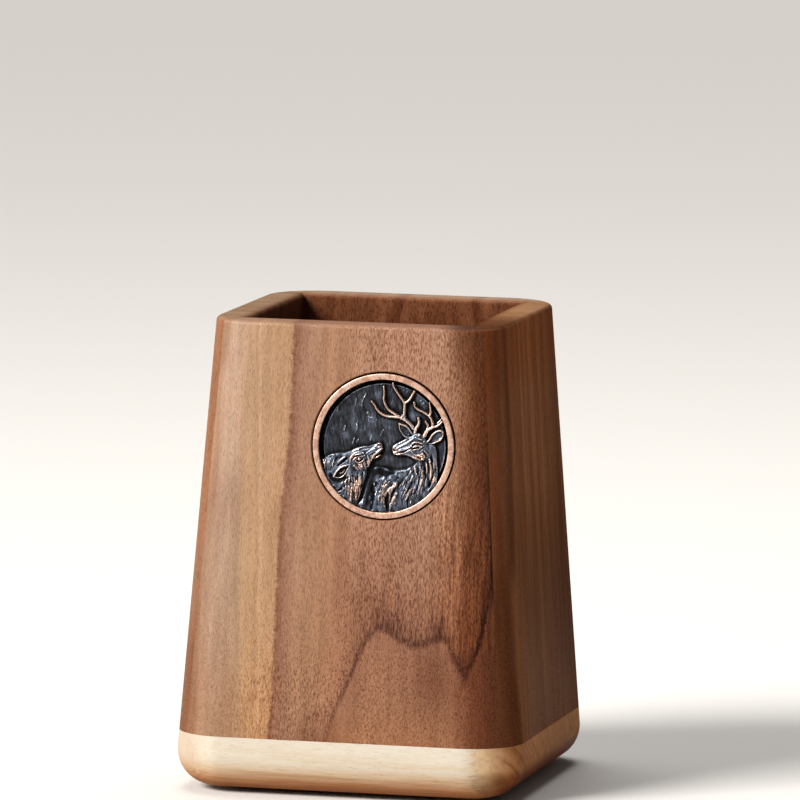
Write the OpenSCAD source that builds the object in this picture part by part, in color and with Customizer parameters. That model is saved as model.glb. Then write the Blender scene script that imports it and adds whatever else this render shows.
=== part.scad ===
// Dip pen holder: a leaning square cup of four mitred walnut boards on a rounded beech base,
// with a round metal medallion let into the front board. Millimetres, +Z up, front towards -Y,
// origin on the table at the middle of the feet.

/* [Body] */
// Height of the cup, without its feet
height = 120; // [100:1:140]
// Width across the outer faces where they would meet the underside
foot_width = 92; // [84:1:100]
// Width across the outer faces at the rim
rim_width = 76; // [72:1:82]
// Thickness of the walnut boards, measured level
wall = 9; // [8:0.5:11]
// Radius of the four upright corners
corner_r = 14; // [11:0.5:16]
// Radius of the rim's two edges
rim_round = 1.2; // [0.6:0.1:2]

/* [Base] */
// Height of the beech base
base_h = 14; // [12:1:18]
// Radius of the round along the base's lower edge
base_round = 10; // [7:0.5:10]
// Height of the step that locates the boards on the base
step_h = 3; // [2:0.5:5]
// Gap between the step and the boards
step_gap = 0.2; // [0.1:0.05:0.4]

/* [Dowels] */
// Diameter of the dowels between the boards and the base
dowel_d = 5; // [4:0.5:5]
// Length of the dowels
dowel_len = 16; // [12:1:18]
// Distance between the two dowels of a board
dowel_pitch = 36; // [24:1:44]
// Glue gap on the diameter of the dowels' bores
dowel_gap = 0.1; // [0.1:0.05:0.2]

/* [Medallion] */
// Outer diameter of the copper ring
medallion_d = 36.8; // [30:0.2:38]
// Distance of the medallion's centre from the middle of the front board, to the right
medallion_x = 9.6; // [0:0.2:10]
// Height of the medallion's centre above the base's underside
medallion_z = 89.7; // [80:0.1:94]
// Width of the gap round the ring
pocket_gap = 0.4; // [0.2:0.05:0.6]
// Depth of the pocket
pocket_depth = 4.2; // [3.6:0.1:5]
// Width of the ring's flat face
ring_band = 1.55; // [1.2:0.05:2.5]
// How far the ring stands out of the board
ring_proud = 0.3; // [0:0.05:0.6]
// Depth of the relief's background below the board's face
field_depth = 1.5; // [1:0.1:2]

/* [Feet] */
// Diameter of the felt feet
foot_d = 12; // [8:1:14]
// Thickness of the felt feet
foot_h = 1; // [0.5:0.1:2]
// Distance between the feet's centres
foot_pitch = 50; // [40:1:56]

/* [Hidden] */

corner_steps = 12;
edge_step = 15;
over = 1;
walnut = [0.52, 0.33, 0.22];
beech = [0.90, 0.76, 0.58];

lean = atan((foot_width - rim_width) / 2 / height);
dowel_chamfer = 0.5;
dowel_spare = 0.5;
step_chamfer = 0.5;
adhesive_t = 0.3;
ring_r = medallion_d / 2;
ring_bore_r = ring_r - ring_band;
ring_chamfer = 0.25;
plate_gap = 0.1;
stack_floor = adhesive_t - pocket_depth;
flange_t = 1;
field_r = ring_bore_r - 0.95;
boss_h = 1;

// Half the width across the outer faces at a height above the base's underside
function half(z) = (foot_width + (rim_width - foot_width) * z / height) / 2;

// A level square with rounded corners, counter-clockwise from above
function round_square(half_w, r, z) =
    [for (quarter = [0:3], k = [0:corner_steps])
        let (a = 90 * (quarter + k / corner_steps),
             sx = quarter == 0 || quarter == 3 ? 1 : -1,
             sy = quarter < 2 ? 1 : -1)
        [sx * (half_w - r) + r * cos(a), sy * (half_w - r) + r * sin(a), z]];

// A level square with sharp corners, counter-clockwise from above
function sharp_square(half_w, z) =
    [for (s = [[1, 1], [-1, 1], [-1, -1], [1, -1]]) [s.x * half_w, s.y * half_w, z]];

// Outline of the cup, from a height up to its rounded rim
function body_rings(z_low) = concat(
    [round_square(half(z_low), corner_r, z_low)],
    [for (a = [0:edge_step:90])
        let (z = height - rim_round * (1 - sin(a)), inset = rim_round * (1 - cos(a)))
        round_square(half(z) - inset, corner_r - inset, z)]);

// The hollow between the boards, opening out over the rim's inner edge
cavity_rings = concat(
    [sharp_square(half(base_h - over) - wall, base_h - over)],
    [for (a = [0:edge_step:90])
        let (z = height - rim_round * (1 - sin(a)))
        sharp_square(half(z) - wall + rim_round * (1 - cos(a)), z)],
    [sharp_square(half(height) - wall + rim_round, height + over)]);

// Outline of the base, with its round lower edge
base_rings = concat(
    [for (a = [0:edge_step:90])
        let (z = base_round * (1 - cos(a)), inset = base_round * (1 - sin(a)))
        round_square(half(z) - inset, corner_r - inset, z)],
    [round_square(half(base_h), corner_r, base_h)]);

// The step that fits inside the boards
step_rings = let (top = base_h + step_h, bevel = top - step_chamfer)
    [sharp_square(half(base_h) - wall - step_gap, base_h - over),
     sharp_square(half(bevel) - wall - step_gap, bevel),
     sharp_square(half(top) - wall - step_gap - step_chamfer, top)];

// A closed solid through rings of points that all run the same way
module loft(rings) {
    n = len(rings[0]);
    last = (len(rings) - 1) * n;
    polyhedron(
        points = [for (ring = rings) each ring],
        faces = concat(
            [[for (i = [0:n - 1]) i]],
            [for (k = [0:n:last - n], i = [0:n - 1])
                let (j = (i + 1) % n) [k + i, k + n + i, k + n + j, k + j]],
            [[for (i = [n - 1:-1:0]) last + i]]));
}

// Lifts what stands on the felt feet
module on_feet() {
    translate([0, 0, foot_h]) children();
}

// Puts children on the front board's face: x to the right, y up the slope, z outwards
module on_medallion_seat() {
    on_feet() translate([medallion_x, -half(medallion_z), medallion_z])
        rotate([90 - lean, 0, 0]) children();
}

// Repeats children at the two dowel places of one side; side 0 is the front
module at_dowels(side) {
    y = half(base_h + dowel_len / 4) - wall / 2;
    rotate(90 * side)
        for (x = [-dowel_pitch / 2, dowel_pitch / 2])
            translate([x, -y, base_h]) children();
}

// Bores for the dowels of one side, blind in the board and in the base
module dowel_bores(side) {
    bore_len = dowel_len + 2 * dowel_spare;
    at_dowels(side) translate([0, 0, -bore_len / 2])
        cylinder(d = dowel_d + dowel_gap, h = bore_len, $fn = 48);
}

// One leaning board, mitred at both upright edges
module board(side) {
    difference() {
        intersection() {
            difference() {
                loft(body_rings(base_h));
                loft(cavity_rings);
            }
            rotate(90 * side) translate([0, 0, base_h - over])
                linear_extrude(height)
                    polygon([[0, 0], [-foot_width, -foot_width], [foot_width, -foot_width]]);
        }
        dowel_bores(side);
    }
}

module front_board() {
    color(walnut) difference() {
        on_feet() board(0);
        on_medallion_seat() translate([0, 0, -pocket_depth])
            cylinder(r = ring_r + pocket_gap, h = pocket_depth + over, $fn = 128);
    }
}

module right_board() {
    color(walnut) on_feet() board(1);
}

module back_board() {
    color(walnut) on_feet() board(2);
}

module left_board() {
    color(walnut) on_feet() board(3);
}

module base() {
    color(beech) on_feet() difference() {
        union() {
            loft(base_rings);
            loft(step_rings);
        }
        for (side = [0:3])
            dowel_bores(side);
    }
}

module dowel() {
    straight = dowel_len - 2 * dowel_chamfer;
    nose_r = dowel_d / 2 - dowel_chamfer;
    translate([0, 0, -straight / 2])
        cylinder(d = dowel_d, h = straight, $fn = 48);
    for (end = [0, 1])
        mirror([0, 0, end]) translate([0, 0, straight / 2])
            cylinder(r1 = dowel_d / 2, r2 = nose_r, h = dowel_chamfer, $fn = 48);
}

module base_dowels() {
    color(beech) on_feet()
        for (side = [0:3])
            at_dowels(side) dowel();
}

module medallion_ring() {
    color([0.75, 0.50, 0.38]) on_medallion_seat()
        rotate_extrude($fn = 128)
            polygon([
                [ring_bore_r, stack_floor],
                [ring_r, stack_floor],
                [ring_r, ring_proud - ring_chamfer],
                [ring_r - ring_chamfer, ring_proud],
                [ring_bore_r + ring_chamfer, ring_proud],
                [ring_bore_r, ring_proud - ring_chamfer]]);
}

// The cast plate, with plain bosses for the raised animals
module relief_plate() {
    field_h = -field_depth - stack_floor;
    color([0.20, 0.17, 0.16]) on_medallion_seat() translate([0, 0, stack_floor]) {
        cylinder(r = ring_bore_r - plate_gap, h = flange_t, $fn = 96);
        cylinder(r = field_r, h = field_h, $fn = 96);
        intersection() {
            cylinder(r = field_r, h = field_h + boss_h, $fn = 96);
            union() {
                translate([9, -9, 0]) cylinder(r = 9, h = field_h + boss_h, $fn = 48);
                translate([8, 1, 0]) cylinder(r = 4, h = field_h + boss_h, $fn = 48);
                translate([-11, -8, 0]) cylinder(r = 7, h = field_h + boss_h, $fn = 48);
                translate([-5, -3, 0]) cylinder(r = 3.5, h = field_h + boss_h, $fn = 48);
            }
        }
    }
}

module medallion_adhesive() {
    color([0.85, 0.85, 0.80]) on_medallion_seat() translate([0, 0, -pocket_depth])
        cylinder(r = ring_r - ring_chamfer, h = adhesive_t, $fn = 96);
}

module feet() {
    color([0.25, 0.22, 0.20])
        for (x = [-foot_pitch / 2, foot_pitch / 2], y = [-foot_pitch / 2, foot_pitch / 2])
            translate([x, y, 0]) cylinder(d = foot_d, h = foot_h, $fn = 64);
}

front_board();
right_board();
back_board();
left_board();
base();
base_dowels();
medallion_ring();
relief_plate();
medallion_adhesive();
feet();
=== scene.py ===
"""Looks of the dip pen holder: walnut boards, beech base and a copper medallion with a cast relief.

Lengths are in metres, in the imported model's frame: +Z up, the front with the medallion towards -Y.
"""
import math

import bmesh
import bpy
import numpy as np
from mathutils import Matrix, Vector

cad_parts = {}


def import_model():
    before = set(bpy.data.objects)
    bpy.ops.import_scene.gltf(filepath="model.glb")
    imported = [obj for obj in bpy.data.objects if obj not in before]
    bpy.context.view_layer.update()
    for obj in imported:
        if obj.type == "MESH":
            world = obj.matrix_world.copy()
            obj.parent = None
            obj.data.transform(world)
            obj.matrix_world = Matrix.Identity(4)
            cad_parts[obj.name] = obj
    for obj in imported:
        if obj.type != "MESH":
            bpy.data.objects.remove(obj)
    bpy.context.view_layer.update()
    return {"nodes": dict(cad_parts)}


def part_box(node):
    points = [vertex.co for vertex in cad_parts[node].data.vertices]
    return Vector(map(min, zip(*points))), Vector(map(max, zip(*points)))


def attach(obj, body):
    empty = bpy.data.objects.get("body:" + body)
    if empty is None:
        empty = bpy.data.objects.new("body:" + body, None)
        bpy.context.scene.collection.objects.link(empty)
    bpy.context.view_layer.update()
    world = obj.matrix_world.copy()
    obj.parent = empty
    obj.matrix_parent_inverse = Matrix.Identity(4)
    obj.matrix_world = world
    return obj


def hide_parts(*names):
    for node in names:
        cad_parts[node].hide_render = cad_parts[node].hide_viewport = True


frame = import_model()

MM = 0.001

# ---------------------------------------------------------------- sizes, from the frame

board_low, board_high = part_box("front_board")
base_low, base_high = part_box("base")
ring_low, ring_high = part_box("medallion_ring")

UNDERSIDE = base_low.z
SEAM = board_low.z
RIM = board_high.z
SEAM_HALF = -board_low.y
RIM_HALF = 38 * MM
SLOPE = (SEAM_HALF - RIM_HALF) / (RIM - SEAM)
LEAN = math.atan(SLOPE)
WALL = 9 * MM
CORNER = 14 * MM
RIM_ROUND = 1.2 * MM
BASE_ROUND = 10 * MM
STEP_GAP = 0.2 * MM
STEP_BEVEL = 0.5 * MM

DOWEL_BORE = 2.55 * MM
DOWEL_LENGTH = 16 * MM
DOWEL_PITCH = 36 * MM
DOWEL_REACH = 8.5 * MM

RING_R = (ring_high.x - ring_low.x) / 2
RING_BORE = RING_R - 1.55 * MM
RING_PROUD = 0.3 * MM
STACK_FLOOR = -3.9 * MM
POCKET_R = RING_R + 0.4 * MM
POCKET_FLOOR = -4.2 * MM
FIELD = -1.5 * MM
FIELD_R = RING_BORE - 0.95 * MM
FOOT_R = 6 * MM

ring_middle = (ring_low + ring_high) / 2
SEAT_X = ring_middle.x
SEAT_Z = ring_middle.z - (RING_PROUD + STACK_FLOOR) / 2 * math.sin(LEAN)


def half(z):
    """Half the width across the outer faces at a height."""
    return RIM_HALF + SLOPE * (RIM - z)


# The medallion's own axes: x to the right, y up the board's slope, z out of the board
SEAT = Matrix((
    (1, 0, 0, SEAT_X),
    (0, math.sin(LEAN), -math.cos(LEAN), -half(SEAT_Z)),
    (0, math.cos(LEAN), math.sin(LEAN), SEAT_Z),
    (0, 0, 0, 1)))

# ---------------------------------------------------------------- meshes

ARC_STEPS = 20
FLAT_STEPS = 24
WALL_LEVELS = 40
EDGE_STEPS = 8
BASE_LEVELS = 19
BORE_STEPS = 48
FOOT_STEPS = 64
POCKET_STEPS = 160
RING_STEPS = 256
CREASE = 35


def in_scene(name, data):
    """A new object for a mesh, a light or a camera."""
    thing = bpy.data.objects.new(name, data)
    bpy.context.scene.collection.objects.link(thing)
    return thing


def solid(name, verts, faces, crease=CREASE):
    """A mesh object with outward faces, smooth except over edges sharper than crease degrees."""
    mesh = bpy.data.meshes.new(name)
    mesh.from_pydata([tuple(v) for v in verts], [], [tuple(f) for f in faces])
    bm = bmesh.new()
    bm.from_mesh(mesh)
    bmesh.ops.remove_doubles(bm, verts=bm.verts, dist=1e-7)
    bmesh.ops.recalc_face_normals(bm, faces=bm.faces)
    bm.to_mesh(mesh)
    bm.free()
    piece = in_scene(name, mesh)
    smooth(piece, crease)
    return piece


def smooth(piece, crease=CREASE):
    """Shades a piece smooth, and marks the edges that stay sharp."""
    mesh = piece.data
    for polygon in mesh.polygons:
        polygon.use_smooth = True
    mesh.set_sharp_from_angle(angle=math.radians(crease))


def carve(piece, cutters):
    """Takes the cutters out of a piece and leaves a plain mesh."""
    for cutter in cutters:
        cut = piece.modifiers.new("cut", "BOOLEAN")
        cut.operation = "DIFFERENCE"
        cut.solver = "EXACT"
        cut.object = cutter
    bpy.context.view_layer.update()
    graph = bpy.context.evaluated_depsgraph_get()
    mesh = bpy.data.meshes.new_from_object(piece.evaluated_get(graph))
    piece.modifiers.clear()
    piece.data = mesh
    for cutter in cutters:
        bpy.data.objects.remove(cutter)
    smooth(piece)


def skin(rows, count, closed=False, around=True):
    """Quads between rows of points, and caps unless the last row joins the first."""
    faces = []
    for i in range(rows if closed else rows - 1):
        a, b = i * count, (i + 1) % rows * count
        for k in range(count if around else count - 1):
            after = (k + 1) % count
            faces.append((a + k, a + after, b + after, b + k))
    if not closed:
        faces.append(range(count))
        faces.append(range((rows - 1) * count, rows * count))
    return faces


def stacked(stations):
    """Points of level outlines, each given as its (x, y) points and its height."""
    return np.concatenate([np.column_stack([path, np.full(len(path), z)]) for path, z in stations])


def lathe(name, profile, steps, place, closed=True):
    """Turns a profile of (radius, height) points about z. An open profile gets flat caps."""
    angles = np.arange(steps) * 2 * math.pi / steps
    verts = [place @ Vector((r * math.cos(a), r * math.sin(a), z)) for r, z in profile for a in angles]
    return solid(name, verts, skin(len(profile), steps, closed))


def rounded(corner, start, radius, steps=5):
    """Points of a quarter round about a centre, from an angle in degrees, anticlockwise."""
    angles = [math.radians(start + 90 * k / steps) for k in range(steps + 1)]
    return [(corner[0] + radius * math.cos(a), corner[1] + radius * math.sin(a)) for a in angles]


# ---------------------------------------------------------------- walnut boards

def side_path(half_w, r):
    """The front side's outline at one level, from mitre to mitre, as an array of (x, y)."""
    middle = half_w - r
    arc = np.radians(np.linspace(225, 270, ARC_STEPS + 1))
    left = np.stack([-middle + r * np.cos(arc), -middle + r * np.sin(arc)], 1)
    flat = np.linspace(-middle, middle, FLAT_STEPS + 1)[1:-1]
    flat = np.stack([flat, np.full(len(flat), -half_w)], 1)
    right = left[::-1] * (-1, 1)
    return np.concatenate([left, flat, right])


def inner_path(half_w, like):
    """The cavity's straight side at one level, with as many points as the outline it follows."""
    return np.stack([like[:, 0] / like[-1, 0] * half_w, np.full(len(like), -half_w)], 1)


def board_stations():
    """Level outlines of one board: up the outside, over the rim and down the inside."""
    stations = []
    quarter = np.radians(np.linspace(0, 90, EDGE_STEPS + 1))
    for z in np.linspace(SEAM, RIM - RIM_ROUND, WALL_LEVELS):
        stations.append((side_path(half(z), CORNER), z))
    for a in quarter[1:]:
        z = RIM - RIM_ROUND * (1 - math.sin(a))
        inset = RIM_ROUND * (1 - math.cos(a))
        stations.append((side_path(half(z) - inset, CORNER - inset), z))
    like = stations[-1][0]
    for a in quarter[::-1]:
        z = RIM - RIM_ROUND * (1 - math.sin(a))
        stations.append((inner_path(half(z) - WALL + RIM_ROUND * (1 - math.cos(a)), like), z))
    for z in np.linspace(RIM - RIM_ROUND, SEAM, WALL_LEVELS)[1:]:
        stations.append((inner_path(half(z) - WALL, like), z))
    return stations


def dowel_cutters(side):
    """Bores of one side's two dowels, in the board and the base."""
    y = half(SEAM + DOWEL_LENGTH / 4) - WALL / 2
    turn = Matrix.Rotation(math.radians(90 * side), 4, "Z")
    profile = [(DOWEL_BORE, -DOWEL_REACH), (DOWEL_BORE, DOWEL_REACH)]
    return [
        lathe("bore", profile, BORE_STEPS, turn @ Matrix.Translation((x, -y, SEAM)), closed=False)
        for x in (-DOWEL_PITCH / 2, DOWEL_PITCH / 2)]


def board(name, side):
    """One mitred board. Side 0 is the front, and the others follow anticlockwise from above."""
    stations = board_stations()
    turn = np.array(Matrix.Rotation(math.radians(90 * side), 3, "Z"))
    rows, count = len(stations), len(stations[0][0])
    faces = skin(rows, count, closed=True, around=False)
    faces.append([i * count for i in range(rows)])
    faces.append([i * count + count - 1 for i in range(rows)])
    piece = solid(name, stacked(stations) @ turn.T, faces)
    cutters = dowel_cutters(side)
    if side == 0:
        lip = 0.25 * MM
        profile = [(POCKET_R, POCKET_FLOOR), (POCKET_R, -lip), (POCKET_R + 5 * lip, 4 * lip)]
        cutters.append(lathe("pocket", profile, POCKET_STEPS, SEAT, closed=False))
    carve(piece, cutters)
    return piece


# ---------------------------------------------------------------- beech base

def full_path(half_w, r):
    """A whole outline at one level: the side's path, turned to all four sides."""
    side = side_path(half_w, r)[:-1]
    turns = [np.array(Matrix.Rotation(math.radians(90 * k), 2)) for k in range(4)]
    return np.concatenate([side @ t.T for t in turns])


def base():
    """The plate with its round lower edge, and the step that locates the boards."""
    stations = []
    for a in np.radians(np.linspace(0, 90, BASE_LEVELS)):
        z = UNDERSIDE + BASE_ROUND * (1 - math.cos(a))
        inset = BASE_ROUND * (1 - math.sin(a))
        stations.append((full_path(half(z) - inset, CORNER - inset), z))
    stations.append((full_path(half(SEAM), CORNER), SEAM))
    top = base_high.z
    soft = 0.2 * MM
    for z, inset in ((SEAM, 0), (top - STEP_BEVEL, 0), (top, STEP_BEVEL)):
        stations.append((full_path(half(z) - WALL - STEP_GAP - inset, soft), z))
    piece = solid("beech_base", stacked(stations), skin(len(stations), len(stations[0][0])))
    carve(piece, [c for side in range(4) for c in dowel_cutters(side)])
    return piece


# ---------------------------------------------------------------- medallion

def ring():
    """The copper ring, with a small round on both of its face's edges."""
    r = 0.25 * MM
    top = RING_PROUD
    profile = [(RING_R, STACK_FLOOR)]
    profile += rounded((RING_R - r, top - r), 0, r)
    profile += rounded((RING_BORE + r, top - r), 90, r)
    profile += [(RING_BORE, STACK_FLOOR)]
    return lathe("copper_ring", profile, RING_STEPS, SEAT)


def felt_feet():
    """Four felt discs with softly rounded edges."""
    low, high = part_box("feet")
    soft = 0.3 * MM
    profile = rounded((FOOT_R - soft, soft), -90, soft) + [(FOOT_R, high.z - low.z)]
    parts = []
    for x in (low.x + FOOT_R, high.x - FOOT_R):
        for y in (low.y + FOOT_R, high.y - FOOT_R):
            parts.append(lathe("foot", profile, FOOT_STEPS, Matrix.Translation((x, y, 0)), closed=False))
    bm = bmesh.new()
    for part in parts:
        bm.from_mesh(part.data)
        bpy.data.objects.remove(part)
    mesh = bpy.data.meshes.new("felt_feet")
    bm.to_mesh(mesh)
    bm.free()
    piece = in_scene("felt_feet", mesh)
    smooth(piece)
    return piece


# ---------------------------------------------------------------- relief

RELIEF_GRID = 310
RELIEF_SEED = 7
RELIEF_R = RING_BORE - 0.1 * MM
RELIEF_UNIT = RING_BORE / 100
SKY_R = FIELD_R / RELIEF_UNIT
GAP_DEPTH = 2.2
LEVEL = 0.95
HEADROOM = 0.3


def curve(points, closed=False, steps=8):
    """Catmull-Rom curve through a few points."""
    p = np.array(points, float)
    p = np.vstack([p[-1:], p, p[:2]]) if closed else np.vstack([2 * p[0] - p[1], p, 2 * p[-1] - p[-2]])
    t = np.linspace(0, 1, steps, endpoint=False)[:, None]
    parts = []
    for a, b, c, d in zip(p, p[1:], p[2:], p[3:]):
        parts.append(0.5 * (2 * b + (c - a) * t + (2 * a - 5 * b + 4 * c - d) * t ** 2
                            + (3 * b - a - 3 * c + d) * t ** 3))
    parts.append(p[-2:-1])
    return np.concatenate(parts)


def to_curve(line, u, v):
    """Distance from each point to a curve, and how far along the curve the nearest place is, 0 to 1."""
    near = np.full(u.shape, np.inf)
    along = np.zeros(u.shape)
    step = 1 / (len(line) - 1)
    for i, (a, b) in enumerate(zip(line, line[1:])):
        d = b - a
        t = np.clip(((u - a[0]) * d[0] + (v - a[1]) * d[1]) / max(d @ d, 1e-12), 0, 1)
        gap = np.hypot(u - a[0] - t * d[0], v - a[1] - t * d[1])
        closer = gap < near
        near = np.where(closer, gap, near)
        along = np.where(closer, (i + t) * step, along)
    return near, along


def within(line, u, v):
    """Which points lie inside a closed curve."""
    inside = np.zeros(u.shape, bool)
    for a, b in zip(line, line[1:]):
        if a[1] != b[1]:
            crosses = (a[1] > v) != (b[1] > v)
            inside ^= crosses & (u < a[0] + (v - a[1]) * (b[0] - a[0]) / (b[1] - a[1]))
    return inside


def lattice_noise(u, v, scale, rng):
    """Smooth noise from -1 to 1 with features of about one scale."""
    cells = rng.uniform(-1, 1, (64, 64))
    x, y = u / scale + 32.37, v / scale + 31.71
    i, j = np.floor(x).astype(int), np.floor(y).astype(int)
    s, t = x - i, y - j
    s, t = s * s * (3 - 2 * s), t * t * (3 - 2 * t)
    i, j, k, l = i % 64, j % 64, (i + 1) % 64, (j + 1) % 64
    return ((cells[j, i] * (1 - s) + cells[j, k] * s) * (1 - t)
            + (cells[l, i] * (1 - s) + cells[l, k] * s) * t)


class Relief:
    """Heights in mm over the plate's field. Places are in hundredths of the ring's bore radius."""

    def __init__(self, u, v, seed):
        self.u, self.v = u, v
        self.height = np.zeros(u.shape)
        self.rng = np.random.default_rng(seed)

    def near(self, line, reach):
        low, high = line.min(0) - reach, line.max(0) + reach
        return np.nonzero((self.u > low[0]) & (self.u < high[0]) & (self.v > low[1]) & (self.v < high[1]))

    def lumps(self, lean, squeeze, scale, lift, where=True):
        """Soft lumps, stretched up the plate and slanted."""
        noise = lattice_noise(self.u + lean * self.v, self.v * squeeze, scale, self.rng)
        self.height += np.where(where, lift * noise, 0)

    def form(self, outline, wall, top, width, soft=1.4):
        """A body standing on the field: a wall at its outline, then a round rise to its top."""
        line = curve(outline, closed=True)
        spot = self.near(line, 0)
        u, v = self.u[spot], self.v[spot]
        depth = np.where(within(line, u, v), to_curve(line, u, v)[0], 0)
        foot = np.clip(depth / soft, 0, 1)
        rise = np.clip(depth / width, 0, 1)
        body = wall * foot ** 0.7 + (top - wall) * np.sqrt(1 - (1 - rise) ** 2)
        self.height[spot] = np.where(depth > 0, np.maximum(self.height[spot], body), self.height[spot])

    def ridge(self, points, radius, lift, taper=0.5):
        """Raises or sinks a soft stroke. It thins towards its end."""
        line = curve(points)
        spot = self.near(line, radius)
        gap, along = to_curve(line, self.u[spot], self.v[spot])
        r = radius * (1 - taper * along) * np.clip(0.45 + 3 * along, 0, 1)
        self.height[spot] += lift * np.clip(1 - (gap / r) ** 2, 0, 1) ** 1.5

    def ridges(self, *strokes):
        """Several ridges, each given as its radius, lift, taper and then its points."""
        for radius, lift, taper, *points in strokes:
            self.ridge(points, radius, lift, taper)

    def branch(self, points, start, end, low, high):
        """A round rod, thinner at its end, that stands on the field."""
        line = curve(points)
        spot = self.near(line, start)
        gap, along = to_curve(line, self.u[spot], self.v[spot])
        r = start + (end - start) * along
        crown = low + (high - low) * along
        rod = crown * np.clip(1 - (gap / r) ** 2, 0, 1) ** 0.5
        self.height[spot] = np.where(gap < r, np.maximum(self.height[spot], rod), self.height[spot])

    def dome(self, centre, radius, lift):
        gap = np.hypot(self.u - centre[0], self.v - centre[1])
        self.height += lift * np.sqrt(np.clip(1 - (gap / radius) ** 2, 0, 1))

    def fur(self, guides, count, length, radius, lift):
        """Strands that follow the guides, which run side by side."""
        lines = [curve(g, steps=10) for g in guides]
        for _ in range(count):
            k = self.rng.integers(len(lines) - 1)
            w = self.rng.uniform()
            m = min(len(lines[k]), len(lines[k + 1]))
            line = lines[k][:m] * (1 - w) + lines[k + 1][:m] * w
            size = self.rng.uniform(0.6, 1.3)
            n = max(3, int(m * length * size))
            first = self.rng.integers(0, max(1, m - n))
            strand = line[first:first + n:2] + self.rng.normal(0, 0.4, 2)
            up = lift * self.rng.uniform(0.3, 1.2) * (1 if self.rng.uniform() < 0.55 else -1)
            self.ridge(strand, radius * self.rng.uniform(0.7, 1.6), up, taper=0.75)


def sky(field):
    """A hammered ground with slanted tool marks, a raised lip and the gap round it."""
    u, v, rng = field.u, field.v, field.rng
    far = np.hypot(u, v)
    field.lumps(0.22, 0.16, 2, 0.05)
    field.lumps(0, 1, 13, 0.1)
    field.height += 0.1 * np.exp(-((u + 12) ** 2 + (v - 22) ** 2) / 500)
    for _ in range(70):
        a = np.array((rng.uniform(-85, 20), rng.uniform(-5, 85)))
        b = a + np.array((0.22, 1)) * rng.uniform(4, 13)
        field.ridge([a, (a + b) / 2 + (0.4, 0), b], rng.uniform(0.8, 1.5), rng.uniform(-0.13, 0.1))
    for stroke in (
            [(-36.5, 54), (-36, 66), (-31, 77)], [(-44, 32), (-43, 27), (-44, 22)], [(-50, 1), (-47, 10)],
            [(-44, 3), (-41, 8)], [(-22.5, 6.5), (-20.5, 16)], [(-6.5, 14.5), (-2.5, 24)],
            [(-25, 42), (-20, 41), (-13, 38.5)], [(-47.5, 58), (-45.5, 70)], [(-75.5, 49), (-73, 57)],
            [(-63.5, 20), (-61.5, 28)]):
        field.ridge(stroke, 1.4, 0.24, 0.3)
    field.ridges((3, 0.16, 0.5, (-29, 47), (-26, 49), (-24, 46)), (2, 0.12, 0.5, (-27, 43), (-24, 43)))

    for k in range(9):
        a = math.radians(44 + 4 * k)
        dash = [(90 * math.cos(a), 90 * math.sin(a)), (85 * math.cos(a), 87 * math.sin(a))]
        field.ridge(dash, 1.6, 0.12 * rng.uniform(0.3, 1.2))
    field.height += 0.12 * np.exp(-(far - SKY_R + 0.8) ** 2)
    field.height -= GAP_DEPTH * np.clip(far - SKY_R, 0, 1)


def stag_body(field):
    """The stag's chest and shoulder, with tufts."""
    field.form([(46, -27), (32, -33), (18, -35), (2, -32), (-12, -31), (-18, -38), (-23, -50), (-28, -65),
                (-32, -80), (-40, -96), (-10, -115), (50, -110), (85, -60), (70, -30)], 0.3, 0.8, 26)
    field.lumps(0.3, 0.7, 9, 0.22, field.height > 0.3)
    field.ridge([(2, -36), (18, -39), (34, -36), (45, -30)], 2.5, 0.1)
    field.ridges(
        (10, 0.42, 0.3, (2, -48), (-2, -62), (-3, -78), (-1, -96)),
        (6, 0.22, 0.3, (20, -42), (10, -50), (2, -60)), (7, 0.3, 0.4, (21, -55), (14, -63), (6, -74)),
        (4.5, -0.5, 0.1, (8, -70), (7, -82), (9, -96)), (3, -0.3, 0.2, (20, -62), (15, -72), (12, -84)),
        (4, 0.35, 0.3, (20, -74), (15, -84), (11, -95)),
        (4, -0.28, 0.1, (-16, -60), (-14, -75), (-17, -95)),
        (5, 0.1, 0.3, (-22, -62), (-24, -75), (-28, -88)))
    for k in range(4):
        s = k * 3.5
        field.ridge([(12 - s, -50 - s * 0.6), (5 - s * 0.6, -55.5 - s)], 1.3, -0.24, 0.3)
    field.fur([[(-12, -46), (-15, -60), (-20, -78), (-24, -93)], [(0, -46), (-5, -60), (-8, -78),
               (-6, -95)], [(16, -46), (8, -58), (2, -74), (3, -95)], [(30, -48), (22, -62), (15, -78),
               (12, -96)], [(36, -56), (30, -68), (24, -82), (22, -94)]], 85, 0.16, 2.7, 0.19)


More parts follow.
